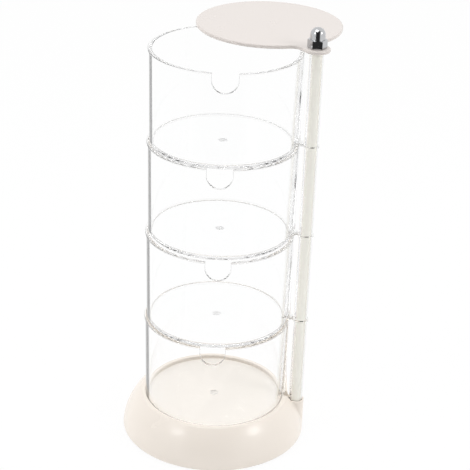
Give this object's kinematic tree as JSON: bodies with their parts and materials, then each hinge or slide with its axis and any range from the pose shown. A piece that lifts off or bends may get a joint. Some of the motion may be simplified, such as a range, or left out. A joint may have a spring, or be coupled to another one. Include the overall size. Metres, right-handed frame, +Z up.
{
  "type": "rotating makeup organizer",
  "caption": "Tower of clear round cups on a domed cream base; cups and a flat lid swing about one side post with an acorn nut on top.",
  "frame": {"origin": "on the table under the middle of the lowest cup", "axes": "+Z up along the stack, +X from the cups towards the post, -Y the front with the finger notches"},
  "size_m": [0.1245, 0.1443, 0.2657],
  "materials": {
    "cream_plastic": "smooth moulded gloss",
    "clear_plastic": "polished clear styrene",
    "post_coating": "satin coating on steel",
    "chrome": "bright chrome plate",
    "foot_rubber": "matt soft rubber"
  },
  "bodies": {
    "base": {"base_shell": "cream_plastic", "clear_cup_4": "clear_plastic", "post": "post_coating", "acorn_nut": "chrome", "rubber_foot_1": "foot_rubber", "rubber_foot_2": "foot_rubber", "rubber_foot_3": "foot_rubber", "rubber_foot_4": "foot_rubber"},
    "top_cup": {"clear_cup_1": "clear_plastic"},
    "second_cup": {"clear_cup_2": "clear_plastic"},
    "third_cup": {"clear_cup_3": "clear_plastic"},
    "lid": {"lid": "cream_plastic"}
  },
  "joints": [
    {"name": "top_cup_turn", "type": "hinge", "parent": "base", "child": "top_cup", "pos_m": [0.0518, 0, 0.2227], "axis": [0, 0, 1], "continuous": true},
    {"name": "second_cup_turn", "type": "hinge", "parent": "base", "child": "second_cup", "pos_m": [0.0518, 0, 0.1652], "axis": [0, 0, 1], "continuous": true},
    {"name": "third_cup_turn", "type": "hinge", "parent": "base", "child": "third_cup", "pos_m": [0.0518, 0, 0.1077], "axis": [0, 0, 1], "continuous": true},
    {"name": "lid_turn", "type": "hinge", "parent": "base", "child": "lid", "pos_m": [0.0518, 0, 0.2527], "axis": [0, 0, 1], "continuous": true}
  ]
}
